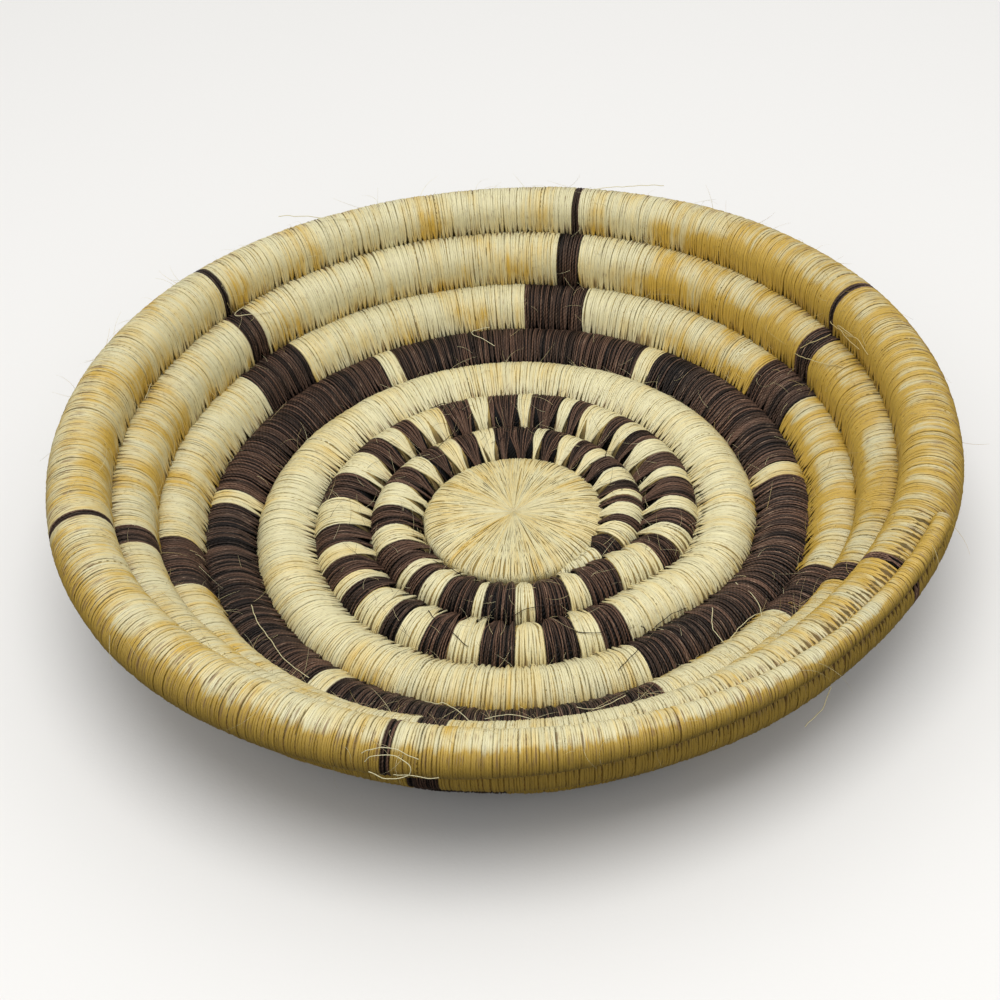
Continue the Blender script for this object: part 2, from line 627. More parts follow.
def finish_tree(nodes, given, geometry):
    """Makes the geometry real and smooth, and gives it its material."""
    smooth = nodes.add("GeometryNodeSetShadeSmooth", None, {"Geometry": geometry})
    whole = nodes.add("GeometryNodeRealizeInstances", None, {"Geometry": smooth})
    values = {"Geometry": whole, "Material": given.out("Material")}
    dressed = nodes.add("GeometryNodeSetMaterial", None, values)
    nodes.add("NodeGroupOutput", None, {"Geometry": dressed})
    return nodes.tree


def padding(nodes, given, radius):
    """The closed tube that the threads lie on, along each line of the path."""
    line = nodes.add("GeometryNodeMeshToCurve", None, {"Mesh": given.out("Geometry")})
    values = {"Curve": line, "Length": given.out("Padding step")}
    line = nodes.add("GeometryNodeResampleCurve", {"mode": "LENGTH"}, values)
    tube = nodes.tube(line, counted_circle(nodes, given.out("Sides"), "around"))
    turn = nodes.attribute("around") * tau
    tube = nodes.store(tube, girth=turn * nodes.attribute("reach"))
    return round_the_coil(nodes, given, tube, turn, radius(turn), 0.0)


def either(choice, first, second):
    """The first value where choice is one, the second where it is nought."""
    return second + (first - second) * choice


def bowed(from_hole, hole, bite, radius):
    """Radius of a line that leaves the coil, runs straight to its hole and stays at that depth."""
    reached = (hole + bite - from_hole).at_least(0.0)
    return radius / reached.at_most(bite).cosine()


def wraps_tree(name):
    """Winds a loop of thread round the coil at each point of a path, over a closed padding."""
    nodes, given = new_tree(
        name, "Width", "Height", "Hole", "Back hole", "Wander", "Far gather", "Far edge", "Lean",
        "Tilt", "Raise by", "Gather angle", "Segments", "Sides", "Padding step", "Seed")
    attribute = nodes.attribute
    height = given.out("Height")
    tilt = given.out("Tilt")
    raised = given.out("Raise by")
    points = nodes.scatter(
        given.out("Geometry"), given.out("Seed"), tint=(0.0, 1.0), tilt_a=(tilt * -1.0, tilt),
        tilt_b=(tilt * -1.0, tilt), raised=(raised * -1.0, raised), phase=(0.0, 1.0), girth_share=GIRTHS)
    threads = threads_at(nodes, points, counted_circle(nodes, given.out("Segments"), "around"))
    # Each loop is closed at a place of its own
    threads = nodes.store(threads, around=nodes.maths("FRACT", attribute("around") + attribute("phase")))

    turn = attribute("around") * tau
    shown = nodes.maths("LESS_THAN", turn, pi)
    from_hole = turn.at_most(tau - turn)
    hole = either(shown, given.out("Hole"), given.out("Back hole"))
    bite = either(shown, attribute("bite"), attribute("bite_back"))
    gather = either(shown, attribute("gather"), attribute("gather_back"))
    reach = attribute("reach")
    sideways = across_thread(nodes)
    crown = 1.0 - abs(sideways)
    drawn = 1.0 - from_hole.ramp(hole, hole + given.out("Gather angle"))
    far = pi - given.out("Far edge")
    pushed = from_hole.ramp(far - given.out("Gather angle") * 1.1, far) * given.out("Far gather")
    pushed = pushed * attribute("held")
    width = given.out("Width") * attribute("girth_share")
    narrowed = width * (1.0 - drawn * HOLE_SQUEEZE - pushed * FAR_SQUEEZE)
    radius = bowed(from_hole, hole, bite, reach - height) + crown * height + attribute("raised")
    swing = turn.sine() * (attribute("tilt_b") * 0.5 + given.out("Lean"))
    swing = turn.cosine() * attribute("tilt_a") + swing
    own_way = nodes.noise(nodes.vector(attribute("tint") * OWN_WAYS, turn * 1.3, 0.0), 1.0, 1.0) - 0.5
    forward = sideways * narrowed * 0.5 + swing * reach + gather * drawn + attribute("gather_far") * pushed
    forward = forward + own_way * given.out("Wander") * (2.0 - drawn) * attribute("uneven")
    lane = attribute("lane") + sideways * width * 0.5
    threads = nodes.store(threads, girth=turn * reach, crown=crown, lane=lane)
    threads = round_the_coil(nodes, given, threads, turn, radius, forward)

    def ridged(turn):
        """The padding has a low ridge that closes the gap to the turn before."""
        return bowed(turn.at_most(tau - turn), 0.0, PADDING_RIDGE, reach - height * PADDING_SINK)

    under = nodes.store(padding(nodes, given, ridged), tint=PADDING_TINT)
    return finish_tree(nodes, given, nodes.join(threads, under))


def core_tree(name):
    """A bundle of stems along the path: one tube whose side is drawn in between the stems."""
    nodes, given = new_tree(name, "Height", "Sides", "Padding step")
    reach = nodes.attribute("reach")
    twist = nodes.attribute("lane") * STEM_TWIST

    def bundle(turn):
        ribs = abs((turn * STEMS + twist).sine())
        return (reach - given.out("Height") * 3.0).at_least(0.001) * (0.88 + ribs * 0.12)

    return finish_tree(nodes, given, nodes.store(padding(nodes, given, bundle), tint=0.5))


def button_tree(name):
    """Threads that go round a flat button through its middle, over a closed lens of the same shape. A closed
    wedge inside fills the gap that opens towards the end of the first round."""
    nodes, given = new_tree(
        name, "Stitches", "Button round", "Button ring", "Button top", "Button dimple",
        "Button spread", "Start", "Button width", "Button height", "Segments", "Seed")
    reach = given.out("Button round")
    ring = given.out("Button ring")
    height = given.out("Button height")
    width = given.out("Button width")

    def lens(direction, lift, half, sideways):
        """A point on the lens: half goes from nought on top of the middle to pi under it."""
        out = half.sine()
        body = (1.0 - out ** BUTTON_FLATNESS).at_least(0.0) ** 0.5
        on_top = nodes.maths("GREATER_THAN", half.cosine(), 0.0)
        dome = ring + (given.out("Button top") - ring) * body
        dome = dome - given.out("Button dimple") * (1.0 - out.ramp(0.0, DIMPLE_REACH))
        below = ring - ring * (body / 0.75).at_most(1.0)
        radius = reach * out + lift * out ** 2.0
        level = dome * on_top + below * (1.0 - on_top) + lift * body * (on_top * 2.0 - 1.0)
        east = radius * direction.cosine() - sideways * direction.sine()
        north = radius * direction.sine() + sideways * direction.cosine()
        return pressed(nodes, nodes.vector(east, north, level), given)

    stitches = given.out("Stitches")
    line = nodes.add("GeometryNodeMeshLine", {"mode": "OFFSET"}, {"Count": stitches})
    line = nodes.scatter(
        line, given.out("Seed"), first=1, jitter=(-0.5, 0.5), tint=(0.0, 1.0), raised=(0.0, height),
        bow=(-BUTTON_BOW, BUTTON_BOW))
    place = nodes.add("GeometryNodeInputIndex") + nodes.attribute("jitter")
    line = nodes.store(line, direction=place / stitches * tau)
    threads = threads_at(nodes, line, counted_circle(nodes, given.out("Segments"), "around"))
    direction = nodes.attribute("direction")
    # The last segment ends under the middle, where all threads meet
    half = nodes.attribute("around") * pi * (given.out("Segments") / (given.out("Segments") - 1.0))
    sideways = across_thread(nodes)
    crown = 1.0 - abs(sideways)
    lift = crown * height + nodes.attribute("raised") - height
    room = half.sine() * reach * (tau * 1.5) / stitches
    narrowed = width.at_most(room + width * 0.25)
    aside = sideways * narrowed * 0.5 + nodes.attribute("bow") * (half * 4.0).sine()
    lane = direction * reach + sideways * width * 0.5
    threads = nodes.store(threads, girth=half.sine() * reach, crown=crown, upward=half.cosine(), lane=lane)
    threads = nodes.move(threads, lens(direction, lift, half, aside))

    on_ball = nodes.add("GeometryNodeInputPosition").split()
    direction = nodes.maths("ARCTAN2", on_ball.out("Y"), on_ball.out("X"))
    half = nodes.maths("ARCCOSINE", on_ball.out("Z"))

    def filling(rings, depth, place):
        """A closed ball whose points are moved to their places. Its depth darkens it for the material."""
        ball = nodes.add("GeometryNodeMeshUVSphere", None, {"Segments": 72, "Rings": rings})
        ball = nodes.store(
            ball, girth=half.sine() * reach, lane=direction * reach, tint=PADDING_TINT, groove=depth)
        return nodes.move(ball, place)

    round_share = nodes.maths("FRACT", (direction - given.out("Start")) / tau)
    edge = reach - BUTTON_INSET + given.out("Button spread") * round_share
    edge = edge * (half.sine() * 1.4).at_most(1.0)
    level = ring * (0.78 + half.cosine() * 0.16)
    ball = filling(24, 0.0, lens(direction, height * -0.4, half, 0.0))
    wedge = filling(8, 1.0, nodes.vector(edge * direction.cosine(), edge * direction.sine(), level))
    return finish_tree(nodes, given, nodes.join(threads, ball, wedge))


def finish_fibres(nodes, given, fibres):
    """Loose fibres hold what the materials read, as on a thread that faces up."""
    return finish_tree(nodes, given, nodes.store(fibres, upward=1.0, crown=1.0))


def fibres_tree(name):
    """A thin curved fibre at each point, along its heading and bent to its side, thinner to the tip."""
    nodes, given = new_tree(name, "Thickness", "Segments", "Seed")
    points = nodes.scatter(given.out("Geometry"), given.out("Seed"), tint=(0.0, 1.0))
    line = nodes.add("GeometryNodeCurvePrimitiveLine", {"mode": "POINTS"})
    values = {"Curve": line, "Count": given.out("Segments")}
    line = nodes.add("GeometryNodeResampleCurve", {"mode": "COUNT"}, values)
    line = nodes.store(line, along_it=nodes.add("GeometryNodeSplineParameter"))
    fibres = threads_at(nodes, points, line, True)
    along, curl, size = (nodes.attribute(name) for name in ("along_it", "curl", "size"))
    root, heading, bend = (nodes.attribute(name, "FLOAT_VECTOR") for name in ("root", "heading", "bend"))
    turned = along * curl
    ahead = turned.sine() / curl * size
    aside = (1.0 - turned.cosine()) / curl * size
    radius = given.out("Thickness") * 0.5 * (1.0 - along * 0.7)
    corner = nodes.attribute("corner") * tau
    place = root.vector("ADD", heading.vector("SCALE", ahead))
    place = place.vector("ADD", bend.vector("SCALE", aside + corner.cosine() * radius))
    across = heading.vector("CROSS_PRODUCT", bend)
    place = place.vector("ADD", across.vector("SCALE", corner.sine() * radius))
    fibres = nodes.store(fibres, girth=along * size, lane=nodes.attribute("tint"))
    return finish_fibres(nodes, given, nodes.move(fibres, pressed(nodes, place, given)))


def strands_tree(name):
    """Thin tubes through the points of each line, with a small waver."""
    nodes, given = new_tree(name, "Thickness", "Waver", "Segments")
    line = nodes.add("GeometryNodeMeshToCurve", None, {"Mesh": given.out("Geometry")})
    line = nodes.add("GeometryNodeCurveSplineType", {"spline_type": "CATMULL_ROM"}, {"Curve": line})
    values = {"Curve": line, "Count": given.out("Segments")}
    line = nodes.add("GeometryNodeResampleCurve", {"mode": "COUNT"}, values)
    place = nodes.add("GeometryNodeInputPosition")
    waver = nodes.noise(place, STRAND_WAVES, 1.0).out("Color").vector("SUBTRACT", (0.5, 0.5, 0.5))
    place = place.vector("ADD", waver.vector("SCALE", given.out("Waver")))
    line = nodes.move(line, pressed(nodes, place, given))
    values = {"Resolution": 4, "Radius": given.out("Thickness") * 0.5}
    profile = nodes.add("GeometryNodeCurvePrimitiveCircle", {"mode": "RADIUS"}, values)
    return finish_fibres(nodes, given, nodes.tube(line, profile))


# What the materials draw: size of the marks along the coil and round it, in metres
STREAK = (0.00028, 0.009)
PATCH = (0.013, 0.026)
BAND = (0.0030, 0.040)
FLECK = (0.00022, 0.0035)
SLIT = (0.00040, 0.009)
BROWN_STREAK = (0.00024, 0.005)
BROWN_PATCH = (0.020, 0.030)
STEM_STREAK = (0.040, 0.0006)
PLY = (0.0011, 0.0013)                  # one twist of the brown twine
BUTTON_EDGE = (0.025, 0.029)            # radii between which the button's colour ends
STRIPED_EDGE = (0.0030, 0.0038)         # the same for the striped rounds, as squares of the radii
UNDER_TINT = (1.0, 0.78, 0.38)          # how much of each colour comes back from the gaps between threads


def on_coil(nodes, sizes):
    """How far along the coil and how far round it a point is, in units of the two sizes."""
    return nodes.read("lane") / sizes[0], nodes.read("girth") / sizes[1]


def marks(nodes, sizes, detail=1.0, roughness=0.5):
    """Noise that makes marks of about these sizes."""
    return nodes.noise(nodes.vector(*on_coil(nodes, sizes), 0.0), 1.0, detail, roughness)


def on_thread(tint):
    """One on a thread, nought on the padding in the gaps."""
    return tint.ramp(PADDING_TINT / 2.0, 0.0)


def finish_material(nodes, base, roughness, bump_height, bump_distance, specular=0.5):
    """Ends a material: what varies feeds the colour, the roughness and the bump alone."""
    values = {"Strength": 1.0, "Distance": bump_distance, "Height": bump_height}
    normal = nodes.add("ShaderNodeBump", None, values)
    values = {"Base Color": base, "Roughness": roughness, "Normal": normal, "Specular IOR Level": specular}
    shader = nodes.add("ShaderNodeBsdfPrincipled", None, values)
    nodes.add("ShaderNodeOutputMaterial", None, {"Surface": shader})


def natural_material(nodes, colours):
    """Undyed fibre: pale on crowns that face up, golden on the flanks and in soft patches, thread by thread,
    with fine streaks, flecks and dark gaps."""
    tint, groove, crown = nodes.read("tint"), nodes.read("groove"), nodes.read("crown")
    streak = marks(nodes, STREAK, 2.0, 0.6)
    patch = marks(nodes, PATCH, 3.0, 0.6)
    band = marks(nodes, BAND)
    # Where on the basket
    place = nodes.add("ShaderNodeTexCoord", None, None, "Object").split()
    east, north = place.out("X"), place.out("Y")
    right = east.ramp(0.03, 0.115)
    left = 1.0 - east.ramp(-0.115, -0.05)
    low = 1.0 - place.out("Z").ramp(0.020, 0.046)
    radius = (east * east + north * north) ** 0.5
    far_out = radius.ramp(0.060, 0.110)
    near = 1.0 - north.ramp(-0.11, -0.03)
    # Where on the coil
    flank = 1.0 - nodes.read("upward").ramp(0.15, 0.85)
    under = 1.0 - nodes.read("upward").ramp(-0.5, 0.25)
    outward = nodes.read("outward") + (tint - 0.5) * 0.10 + (band - 0.5) * 0.15
    outside = outward.ramp(0.30, 1.0) * far_out
    # How golden it is, first by place and then from thread to thread
    golden = flank * (right * 0.80 + near * 0.50 + 0.08)
    golden = golden + under * far_out * (near * 0.5 + low * 0.2 + 0.15)
    golden = golden + outside * (near * 0.9 + 0.25)
    golden = golden + right * far_out * (0.56 + flank * 0.44) + left * 0.25 + (band - 0.5) * 0.6
    golden = golden + (patch - 0.46) * (1.7 + far_out) * (1.0 - outside * near * 0.6)
    golden = golden + (tint - 0.5) * 0.35 + (1.0 - radius.ramp(*BUTTON_EDGE)) * 0.20
    base = nodes.mix(golden.ramp(-0.10, 0.50), colours.pale, colours.straw)
    base = nodes.mix(golden.ramp(0.35, 0.85), base, colours.gold)
    # How bright it is, and how the light from the gaps is warmed
    shade = (0.70 + streak * 0.50 + tint * 0.10) * (0.80 + crown.ramp(0.0, 0.7) * 0.20)
    shade = shade * (1.0 - far_out * 0.04)
    shade = shade * (1.0 - outside * near * (0.30 - low * 0.26))
    shade = shade * (1.0 - right * far_out * 0.14) * (1.0 - left * 0.07)
    top = on_thread(tint)
    deep = groove.ramp(0.55, 0.90)
    warm = shade * either(top, 1.0, colours.under * (1.35 - deep * 0.75) + streak * 0.3 - 0.15)
    warmth = nodes.vector(*(warm * either(top, 1.0, part) for part in UNDER_TINT))
    base = nodes.mix(1.0, base, warmth, "MULTIPLY")
    # Flecks, and dark slits where the threads part beside a groove
    base = nodes.mix(marks(nodes, FLECK).ramp(0.62, 0.74) * 0.75, base, colours.fleck)
    slit = marks(nodes, SLIT).ramp(0.56, 0.66) * groove.ramp(0.58, 0.92)
    base = nodes.mix(slit * 0.8, base, colours.fleck)
    finish_material(nodes, base, either(top, 0.36 + streak * 0.2, 0.9), streak, 0.00014, 0.6)


def brown_material(nodes, colours):
    """Dyed twine: two plies twisted together, near black to russet, with paler fibre ends."""
    tint = nodes.read("tint")
    streak = marks(nodes, BROWN_STREAK, 2.0, 0.6)
    patch = marks(nodes, BROWN_PATCH)
    along, round_it = on_coil(nodes, PLY)
    ply = ((round_it + along) * tau).sine() * 0.5 + 0.5
    place = nodes.add("ShaderNodeTexCoord", None, None, "Object").vector("MULTIPLY", (1.0, 1.0, 0.0))
    striped = 1.0 - place.vector("DOT_PRODUCT", place, "Value").ramp(*STRIPED_EDGE)
    right = place.split().ramp(0.02, 0.09)
    mixed = tint * 0.6 + patch * 1.3 + 0.12 + striped * 0.25
    base = nodes.mix(mixed.ramp(0.75, 1.6), colours.umber, colours.russet)
    base = nodes.mix(1.0 - mixed.ramp(0.45, 1.0), base, colours.soot)
    base = nodes.mix(streak.ramp(0.58, 0.76) * 0.70, base, colours.frayed)
    crown = nodes.read("crown").ramp(0.1, 0.8)
    shade = (0.20 + streak * 1.15 + ply * 0.2) * (0.18 + crown) * (0.45 + tint) * (0.92 + right * 0.38)
    shade = shade * either(on_thread(tint), 1.0, colours.under)
    base = nodes.mix(1.0, base, nodes.vector(shade, shade, shade), "MULTIPLY")
    finish_material(nodes, base, 0.42 + streak * 0.2, ply * 0.6 + streak * 0.4, 0.00022, 0.14)


def grass_material(nodes, colours):
    """Dry stems with long shaded grooves."""
    streak = marks(nodes, STEM_STREAK, 3.0)
    base = nodes.mix(streak.ramp(0.3, 0.7), colours.stem, colours.grass)
    finish_material(nodes, base, 0.75 + streak * 0.15, streak, 0.0002)


def floor_material(nodes, stage):
    """Plain and matt, with a breath of unevenness. It looks pale, and lights the basket from below little."""
    place = nodes.add("ShaderNodeTexCoord", None, None, "Object")
    seen = nodes.add("ShaderNodeLightPath", None, None, "Is Camera Ray")
    shade = (0.98 + nodes.noise(place, 1.5, 3.0) * 0.04) * either(seen, 1.0, stage.bounce)
    base = nodes.mix(1.0, stage.floor, nodes.vector(shade, shade, shade), "MULTIPLY")
    finish_material(nodes, base, 0.9, nodes.noise(place, 900.0), 0.00003, 0.1)


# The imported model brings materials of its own, so these have other names than its slots
MATERIALS = {
    NATURAL: natural_material, BROWN: brown_material, GRASS: grass_material, "studio_floor": floor_material,
}
TREES = {
    "Thread wraps": wraps_tree, "Foundation bundle": core_tree, "Button stitches": button_tree,
    "Loose fibres": fibres_tree, "Long strands": strands_tree,
}


def basket_material(name):
    """The material of this name, made when it is first asked for."""
    material = bpy.data.materials.get(name)
    if not material:
        material = bpy.data.materials.new(name)
        material.use_nodes = True
        material.node_tree.nodes.clear()
        scene = bpy.context.scene
        settings = scene.basket_stage if name == "studio_floor" else scene.basket_colours
        MATERIALS[name](Nodes(material.node_tree), settings)
    return material


def grow(obj, tree_name, fibre, **values):
    """Runs a tree on an object and leaves the plain mesh that comes out, without what only the tree used.
    An input takes the value that is given for it, or else the setting of the same name."""
    scene = bpy.context.scene
    tree = bpy.data.node_groups.get(tree_name) or TREES[tree_name](tree_name)
    modifier = obj.modifiers.new(tree_name, "NODES")
    modifier.node_group = tree
    values["material"] = basket_material(fibre)
    for item in tree.interface.items_tree:
        name = item.name.lower().replace(" ", "_")
        if name in values:
            modifier[item.identifier] = values[name]
        elif name != "geometry":
            group = scene.basket_thread if hasattr(scene.basket_thread, name) else scene.basket_shape
            modifier[item.identifier] = getattr(group, name)
    bpy.context.view_layer.update()
    depsgraph = bpy.context.evaluated_depsgraph_get()
    mesh = bpy.data.meshes.new_from_object(
        obj.evaluated_get(depsgraph), preserve_all_data_layers=True, depsgraph=depsgraph)
    if not mesh.polygons:
        raise RuntimeError(f"{obj.name}: {tree_name} made nothing")
    obj.modifiers.remove(modifier)
    source = obj.data
    mesh.name = source.name
    obj.data = mesh
    bpy.data.meshes.remove(source)
    for name in [attribute.name for attribute in mesh.attributes]:
        attribute = mesh.attributes.get(name)
        kept = name in KEPT_ATTRIBUTES or name.startswith((".", "sharp", "material"))
        if attribute and not kept and not attribute.is_required:
            mesh.attributes.remove(attribute)


def dress(obj, fibre, *replaced):
    """Declares a finished piece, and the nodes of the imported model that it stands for."""
    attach(obj, "root")
    if replaced:
        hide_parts(*replaced)


def wind_run(node, fibre, bands, stitch=FINE_STITCH, gather_angle=FINE_GATHER):
    """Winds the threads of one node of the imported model, on bands given in degrees."""
    scene = bpy.context.scene
    thread = scene.basket_thread
    seed = thread.seed * 100 + sorted(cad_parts).index(node)
    path = run_rows(scene.basket_shape, thread, bands, stitch, random.Random(seed))
    values = {"width": thread.brown_width, "height": thread.brown_height} if fibre == BROWN else {}
    piece = path_object(f"{node}_threads", *path)
    grow(piece, "Thread wraps", fibre, gather_angle=gather_angle, seed=seed, **values)
    dress(piece, fibre, node)


def stripe_bands(lead):
    """Natural and brown bands of the striped rounds, in degrees. The first one starts under the button."""
    natural, brown = [], []
    reached = 0.0
    for gap, band in STRIPES:
        natural.append((reached, reached + gap))
        brown.append((reached + gap, reached + gap + band))
        reached += gap + band
    natural[0] = (-lead, natural[0][1])
    return natural, brown


def dark_runs():
    """Node, fibre, start and end of the plain run and of the dark round with its gaps, in degrees."""
    runs = [("plain_round", NATURAL, sum(gap + band for gap, band in STRIPES), DARK_ROUND[0])]
    reached = DARK_ROUND[0]
    for number, gap in enumerate(DARK_ROUND_GAPS, 1):
        left = DARK_ROUND_TURN * 360.0 + gap - GAP_WIDTH / 2.0
        runs.append((f"dark_run_{number}", BROWN, reached, left))
        runs.append((f"dark_round_gap_{number}", NATURAL, left, left + GAP_WIDTH))
        reached = left + GAP_WIDTH
    return runs + [(f"dark_run_{len(DARK_ROUND_GAPS) + 1}", BROWN, reached, DARK_ROUND[1])]


def arm_runs(last):
    """The same for the runs after the dark round, up to the last angle."""
    runs = []
    reached = DARK_ROUND[1]
    for turn, name, width, middles in ARM_STEPS:
        for number, arm in enumerate(middles, 1):
            left = turn * 360.0 + arm - width / 2.0
            runs.append((f"natural_run_{len(runs) // 2 + 1:02d}", NATURAL, reached, left))
            runs.append((f"{name}_{number}", BROWN, left, left + width))
            reached = left + width
    return runs + [(f"natural_run_{len(runs) // 2 + 1:02d}", NATURAL, reached, last)]


def wind_runs(runs):
    """Winds the runs that each have a node of their own."""
    for node, fibre, start, end in runs:
        wind_run(node, fibre, [(start, end)])


class BASKET_OT_foundation(bpy.types.Operator):
    """Lay the bundle of stems that the whole coil is wound on"""
    bl_idname = "basket.foundation"
    bl_label = "Foundation"

    def execute(self, context):
        shape, thread = context.scene.basket_shape, context.scene.basket_thread
        step = thread.padding_step * CORE_COARSER
        steps = ceil(winding_length(shape, 0.0, shape.end) / thread.padding_step / CORE_COARSER)
        rows = [coil_row(shape, shape.end * number / steps) for number in range(steps + 1)]
        piece = path_object("foundation_stems", rows, [(number, number + 1) for number in range(steps)])
        grow(piece, "Foundation bundle", GRASS, sides=thread.sides * 2, padding_step=step)
        dress(piece, GRASS, "foundation_core")
        return {"FINISHED"}


class BASKET_OT_button(bpy.types.Operator):
    """Stitch the button with radial threads"""
    bl_idname = "basket.button"
    bl_label = "Centre button"

    def execute(self, context):
        piece = path_object("centre_button_stitches", [{"centre": Vector()}], [])
        top = BUTTON_TOP - context.scene.basket_shape.button_settle
        grow(piece, "Button stitches", NATURAL, button_top=top, segments=BUTTON_SEGMENTS)
        dress(piece, NATURAL, "centre_button")
        return {"FINISHED"}


class BASKET_OT_striped_rounds(bpy.types.Operator):
    """Wind the two striped rounds"""
    bl_idname = "basket.striped_rounds"
    bl_label = "Striped rounds"

    def execute(self, context):
        natural, brown = stripe_bands(context.scene.basket_shape.lead / radians(1.0))
        wind_run("natural_stripes", NATURAL, natural, BAND_STITCH, BAND_GATHER)
        wind_run("brown_stripes", BROWN, brown, BAND_STITCH, BAND_GATHER)
        return {"FINISHED"}


class BASKET_OT_floor_rounds(bpy.types.Operator):
    """Wind the plain round and the dark round with its pale gaps"""
    bl_idname = "basket.floor_rounds"
    bl_label = "Plain and dark rounds"

    def execute(self, context):
        wind_runs(dark_runs())
        return {"FINISHED"}


class BASKET_OT_wall_rounds(bpy.types.Operator):
    """Wind the wall and the rim, with the six brown arms"""
    bl_idname = "basket.wall_rounds"
    bl_label = "Wall and rim"

    def execute(self, context):
        wind_runs(arm_runs(context.scene.basket_shape.end / radians(1.0)))
        return {"FINISHED"}


def way_out(toward, shown, around):
    """The way from the coil's centre to an angle round it."""
    return toward * cos(around) + shown * sin(around)


def fibre_row(shape, turned, around, heading_angle, lift, size, curl, side):
    """Root, heading and bend of one loose fibre that lies on the coil."""
    centre, along, toward, shown = coil_frame(shape, turned)
    out = way_out(toward, shown, around)
    over = shown * cos(around) - toward * sin(around)
    level = along * cos(heading_angle) + over * sin(heading_angle)
    heading = (level * (1.0 - lift) + out * lift).normalized()
    bend = out.cross(heading) * side - out * 0.15
    bend = (bend - heading * bend.dot(heading)).normalized()
    root = centre + out * (coil_reach(shape, turned) - FIBRE_ROOT)
    return {"centre": centre, "root": root, "heading": heading, "bend": bend, "size": size, "curl": curl}


def short_fibres(shape, number, pick, chance):
    """Rows of short fibres, where pick gives the winding angle of each."""
    rows = []
    for _ in range(number):
        around = radians(chance.uniform(-20.0, 200.0))
        rows.append(fibre_row(
            shape, pick(), around, heading_angle=chance.uniform(0.0, tau), lift=chance.uniform(0.15, 0.6),
            size=chance.uniform(0.003, 0.012), curl=chance.uniform(0.3, 1.8), side=chance.choice((-1, 1))))
    return rows, []


def pale_root(shape, chance):
    """Winding angle of a pale fibre, evenly over the coil's length. Few of them stand on the dark round."""
    while True:
        turned = shape.end * chance.random() ** 0.6
        if not radians(DARK_ROUND[0]) < turned < radians(DARK_ROUND[1]) or chance.random() < 0.25:
            return turned


def strand_path(shape, strands):
    """Rows and edges for the long strands, a line through the points of each."""
    rows = []
    edges = []
    for strand in strands:
        edges += [(len(rows) + number, len(rows) + number + 1) for number in range(len(strand) - 1)]
        for turned, around, height in strand:
            centre, along, toward, shown = coil_frame(shape, radians(turned))
            out = way_out(toward, shown, radians(around))
            rows.append({"centre": centre + out * (coil_reach(shape, radians(turned)) + height * 0.001)})
    return rows, edges


class BASKET_OT_loose_fibres(bpy.types.Operator):
    """Add the short and long fibres that stand off the threads"""
    bl_idname = "basket.loose_fibres"
    bl_label = "Loose fibres"

    def execute(self, context):
        shape, thread = context.scene.basket_shape, context.scene.basket_thread
        chance = random.Random(thread.seed)
        striped = radians(sum(gap + band for gap, band in STRIPES))
        pale = short_fibres(shape, thread.fibres, lambda: pale_root(shape, chance), chance)
        dark = short_fibres(shape, thread.dark_fibres, lambda: chance.uniform(0.0, striped), chance)
        short = {"thickness": thread.fine_fibre, "segments": SHORT_SEGMENTS}
        long = {"thickness": thread.long_fibre, "segments": STRAND_SEGMENTS}
        for name, tree, fibre, path, values in (
                ("pale_loose_fibres", "Loose fibres", NATURAL, pale, {**short, "seed": thread.seed}),
                ("dark_loose_fibres", "Loose fibres", BROWN, dark, {**short, "seed": thread.seed + 1}),
                ("pale_strands", "Long strands", NATURAL, strand_path(shape, PALE_STRANDS), long),
                ("dark_strands", "Long strands", BROWN, strand_path(shape, DARK_STRANDS), long)):
            piece = path_object(name, *path)
            grow(piece, tree, fibre, **values)
            dress(piece, fibre)
        return {"FINISHED"}


def add_lamp(name, place, size, watts):
    """A round lamp that looks at the middle of the floor."""
    data = bpy.data.lights.new(name, "AREA")
    data.shape = "DISK"
    data.size = size
    data.energy = watts
    lamp = bpy.data.objects.new(name, data)
    bpy.context.scene.collection.objects.link(lamp)
    lamp.location = place
    lamp.rotation_euler = (Vector() - Vector(place)).to_track_quat("-Z", "Y").to_euler()


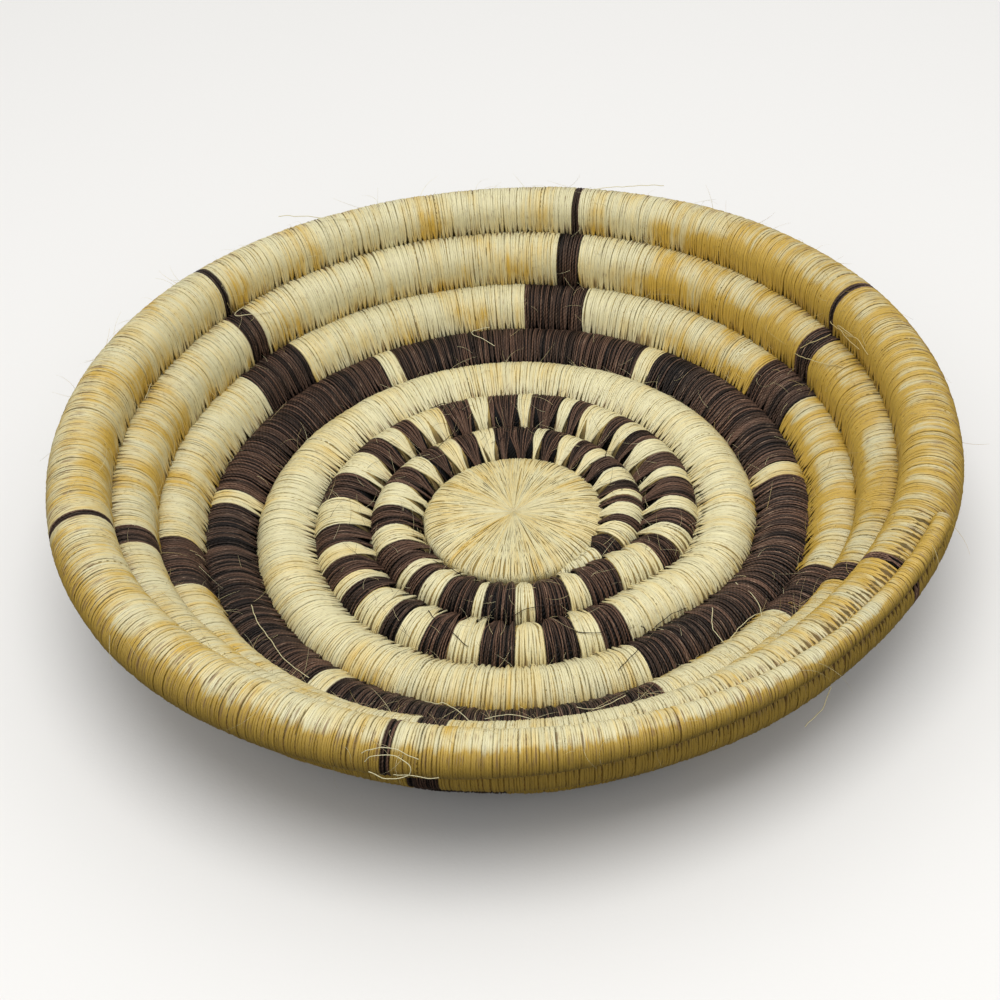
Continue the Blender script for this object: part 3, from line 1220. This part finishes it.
class BASKET_OT_stage(bpy.types.Operator):
    """Set up the floor, the lamps, the sky and the camera"""
    bl_idname = "basket.stage"
    bl_label = "Stage"

    def execute(self, context):
        stage = context.scene.basket_stage
        half = stage.floor_size / 2.0
        mesh = bpy.data.meshes.new("studio_floor")
        corners = [(-half, -half, 0), (half, -half, 0), (half, half, 0), (-half, half, 0)]
        mesh.from_pydata(corners, [], [(0, 1, 2, 3)])
        mesh.materials.append(basket_material("studio_floor"))
        floor = bpy.data.objects.new("studio_floor", mesh)
        context.scene.collection.objects.link(floor)
        for name, place, size, setting in LAMPS:
            add_lamp(name, place, size, getattr(stage, setting))
        self.add_sky(context.scene, stage)
        self.add_camera(context.scene, stage)
        context.scene.view_settings.view_transform = "Standard"
        return {"FINISHED"}

    def add_sky(self, scene, stage):
        """White to the camera and in reflections. As light, strongest from straight above."""
        world = bpy.data.worlds.new("studio_sky")
        scene.world = world
        world.use_nodes = True
        world.node_tree.nodes.clear()
        nodes = Nodes(world.node_tree)
        rays = nodes.add("ShaderNodeLightPath", None, None, "Is Camera Ray")
        seen = rays.at_least(rays.out("Is Glossy Ray")).at_least(rays.out("Is Transmission Ray"))
        way = nodes.add("ShaderNodeTexCoord", None, None, "Generated").split()
        strength = either(way.out("Z").ramp(0.0, 0.9), stage.sky, stage.sky * stage.horizon)
        white = (1.0, 1.0, 1.0, 1.0)
        light = nodes.add("ShaderNodeBackground", None, {"Color": white, "Strength": strength})
        shown = nodes.add("ShaderNodeBackground", None, {"Color": white, "Strength": 1.0})
        both = nodes.add("ShaderNodeMixShader", None, {0: seen, 1: light, 2: shown})
        nodes.add("ShaderNodeOutputWorld", None, {"Surface": both})

    def add_camera(self, scene, stage):
        data = bpy.data.cameras.new("view")
        data.lens = stage.lens
        data.sensor_width = 36.0
        camera = bpy.data.objects.new("view", data)
        scene.collection.objects.link(camera)
        east = Vector((1.0, 0.0, 0.0))
        back = Vector((0.0, -cos(stage.pitch), sin(stage.pitch)))
        up = back.cross(east)
        right = east * cos(stage.roll) + up * sin(stage.roll)
        above = up * cos(stage.roll) - east * sin(stage.roll)
        target = Vector(stage.target)
        turn = Matrix((right, above, back)).transposed().to_4x4()
        camera.matrix_world = Matrix.Translation(target + back * stage.distance) @ turn
        scene.camera = camera


OPERATORS = (
    BASKET_OT_stage, BASKET_OT_foundation, BASKET_OT_button, BASKET_OT_striped_rounds, BASKET_OT_floor_rounds,
    BASKET_OT_wall_rounds, BASKET_OT_loose_fibres)


class BASKET_PT_panel(bpy.types.Panel):
    """Sizes, colours and steps of the basket"""
    bl_label = "Coiled wall basket"
    bl_space_type = "VIEW_3D"
    bl_region_type = "UI"
    bl_category = "Basket"

    def draw(self, context):
        for group in SETTINGS:
            box = self.layout.box()
            box.label(text=group.replace("_", " ").capitalize())
            settings = getattr(context.scene, group)
            for name in settings.__annotations__:
                box.prop(settings, name)
        for operator in OPERATORS:
            self.layout.operator(operator.bl_idname)


SETTINGS = {
    "basket_shape": BasketShape, "basket_thread": BasketThread, "basket_colours": BasketColours,
    "basket_stage": BasketStage,
}
CLASSES = (*SETTINGS.values(), *OPERATORS, BASKET_PT_panel)


def register():
    for cls in CLASSES:
        bpy.utils.register_class(cls)
    for name, group in SETTINGS.items():
        setattr(bpy.types.Scene, name, PointerProperty(type=group))


def unregister():
    for name in SETTINGS:
        delattr(bpy.types.Scene, name)
    for cls in reversed(CLASSES):
        bpy.utils.unregister_class(cls)


def main():
    register()
    bpy.ops.basket.stage()
    bpy.ops.basket.foundation()
    bpy.ops.basket.button()
    bpy.ops.basket.striped_rounds()
    bpy.ops.basket.floor_rounds()
    bpy.ops.basket.wall_rounds()
    bpy.ops.basket.loose_fibres()


if __name__ == "__main__":
    main()
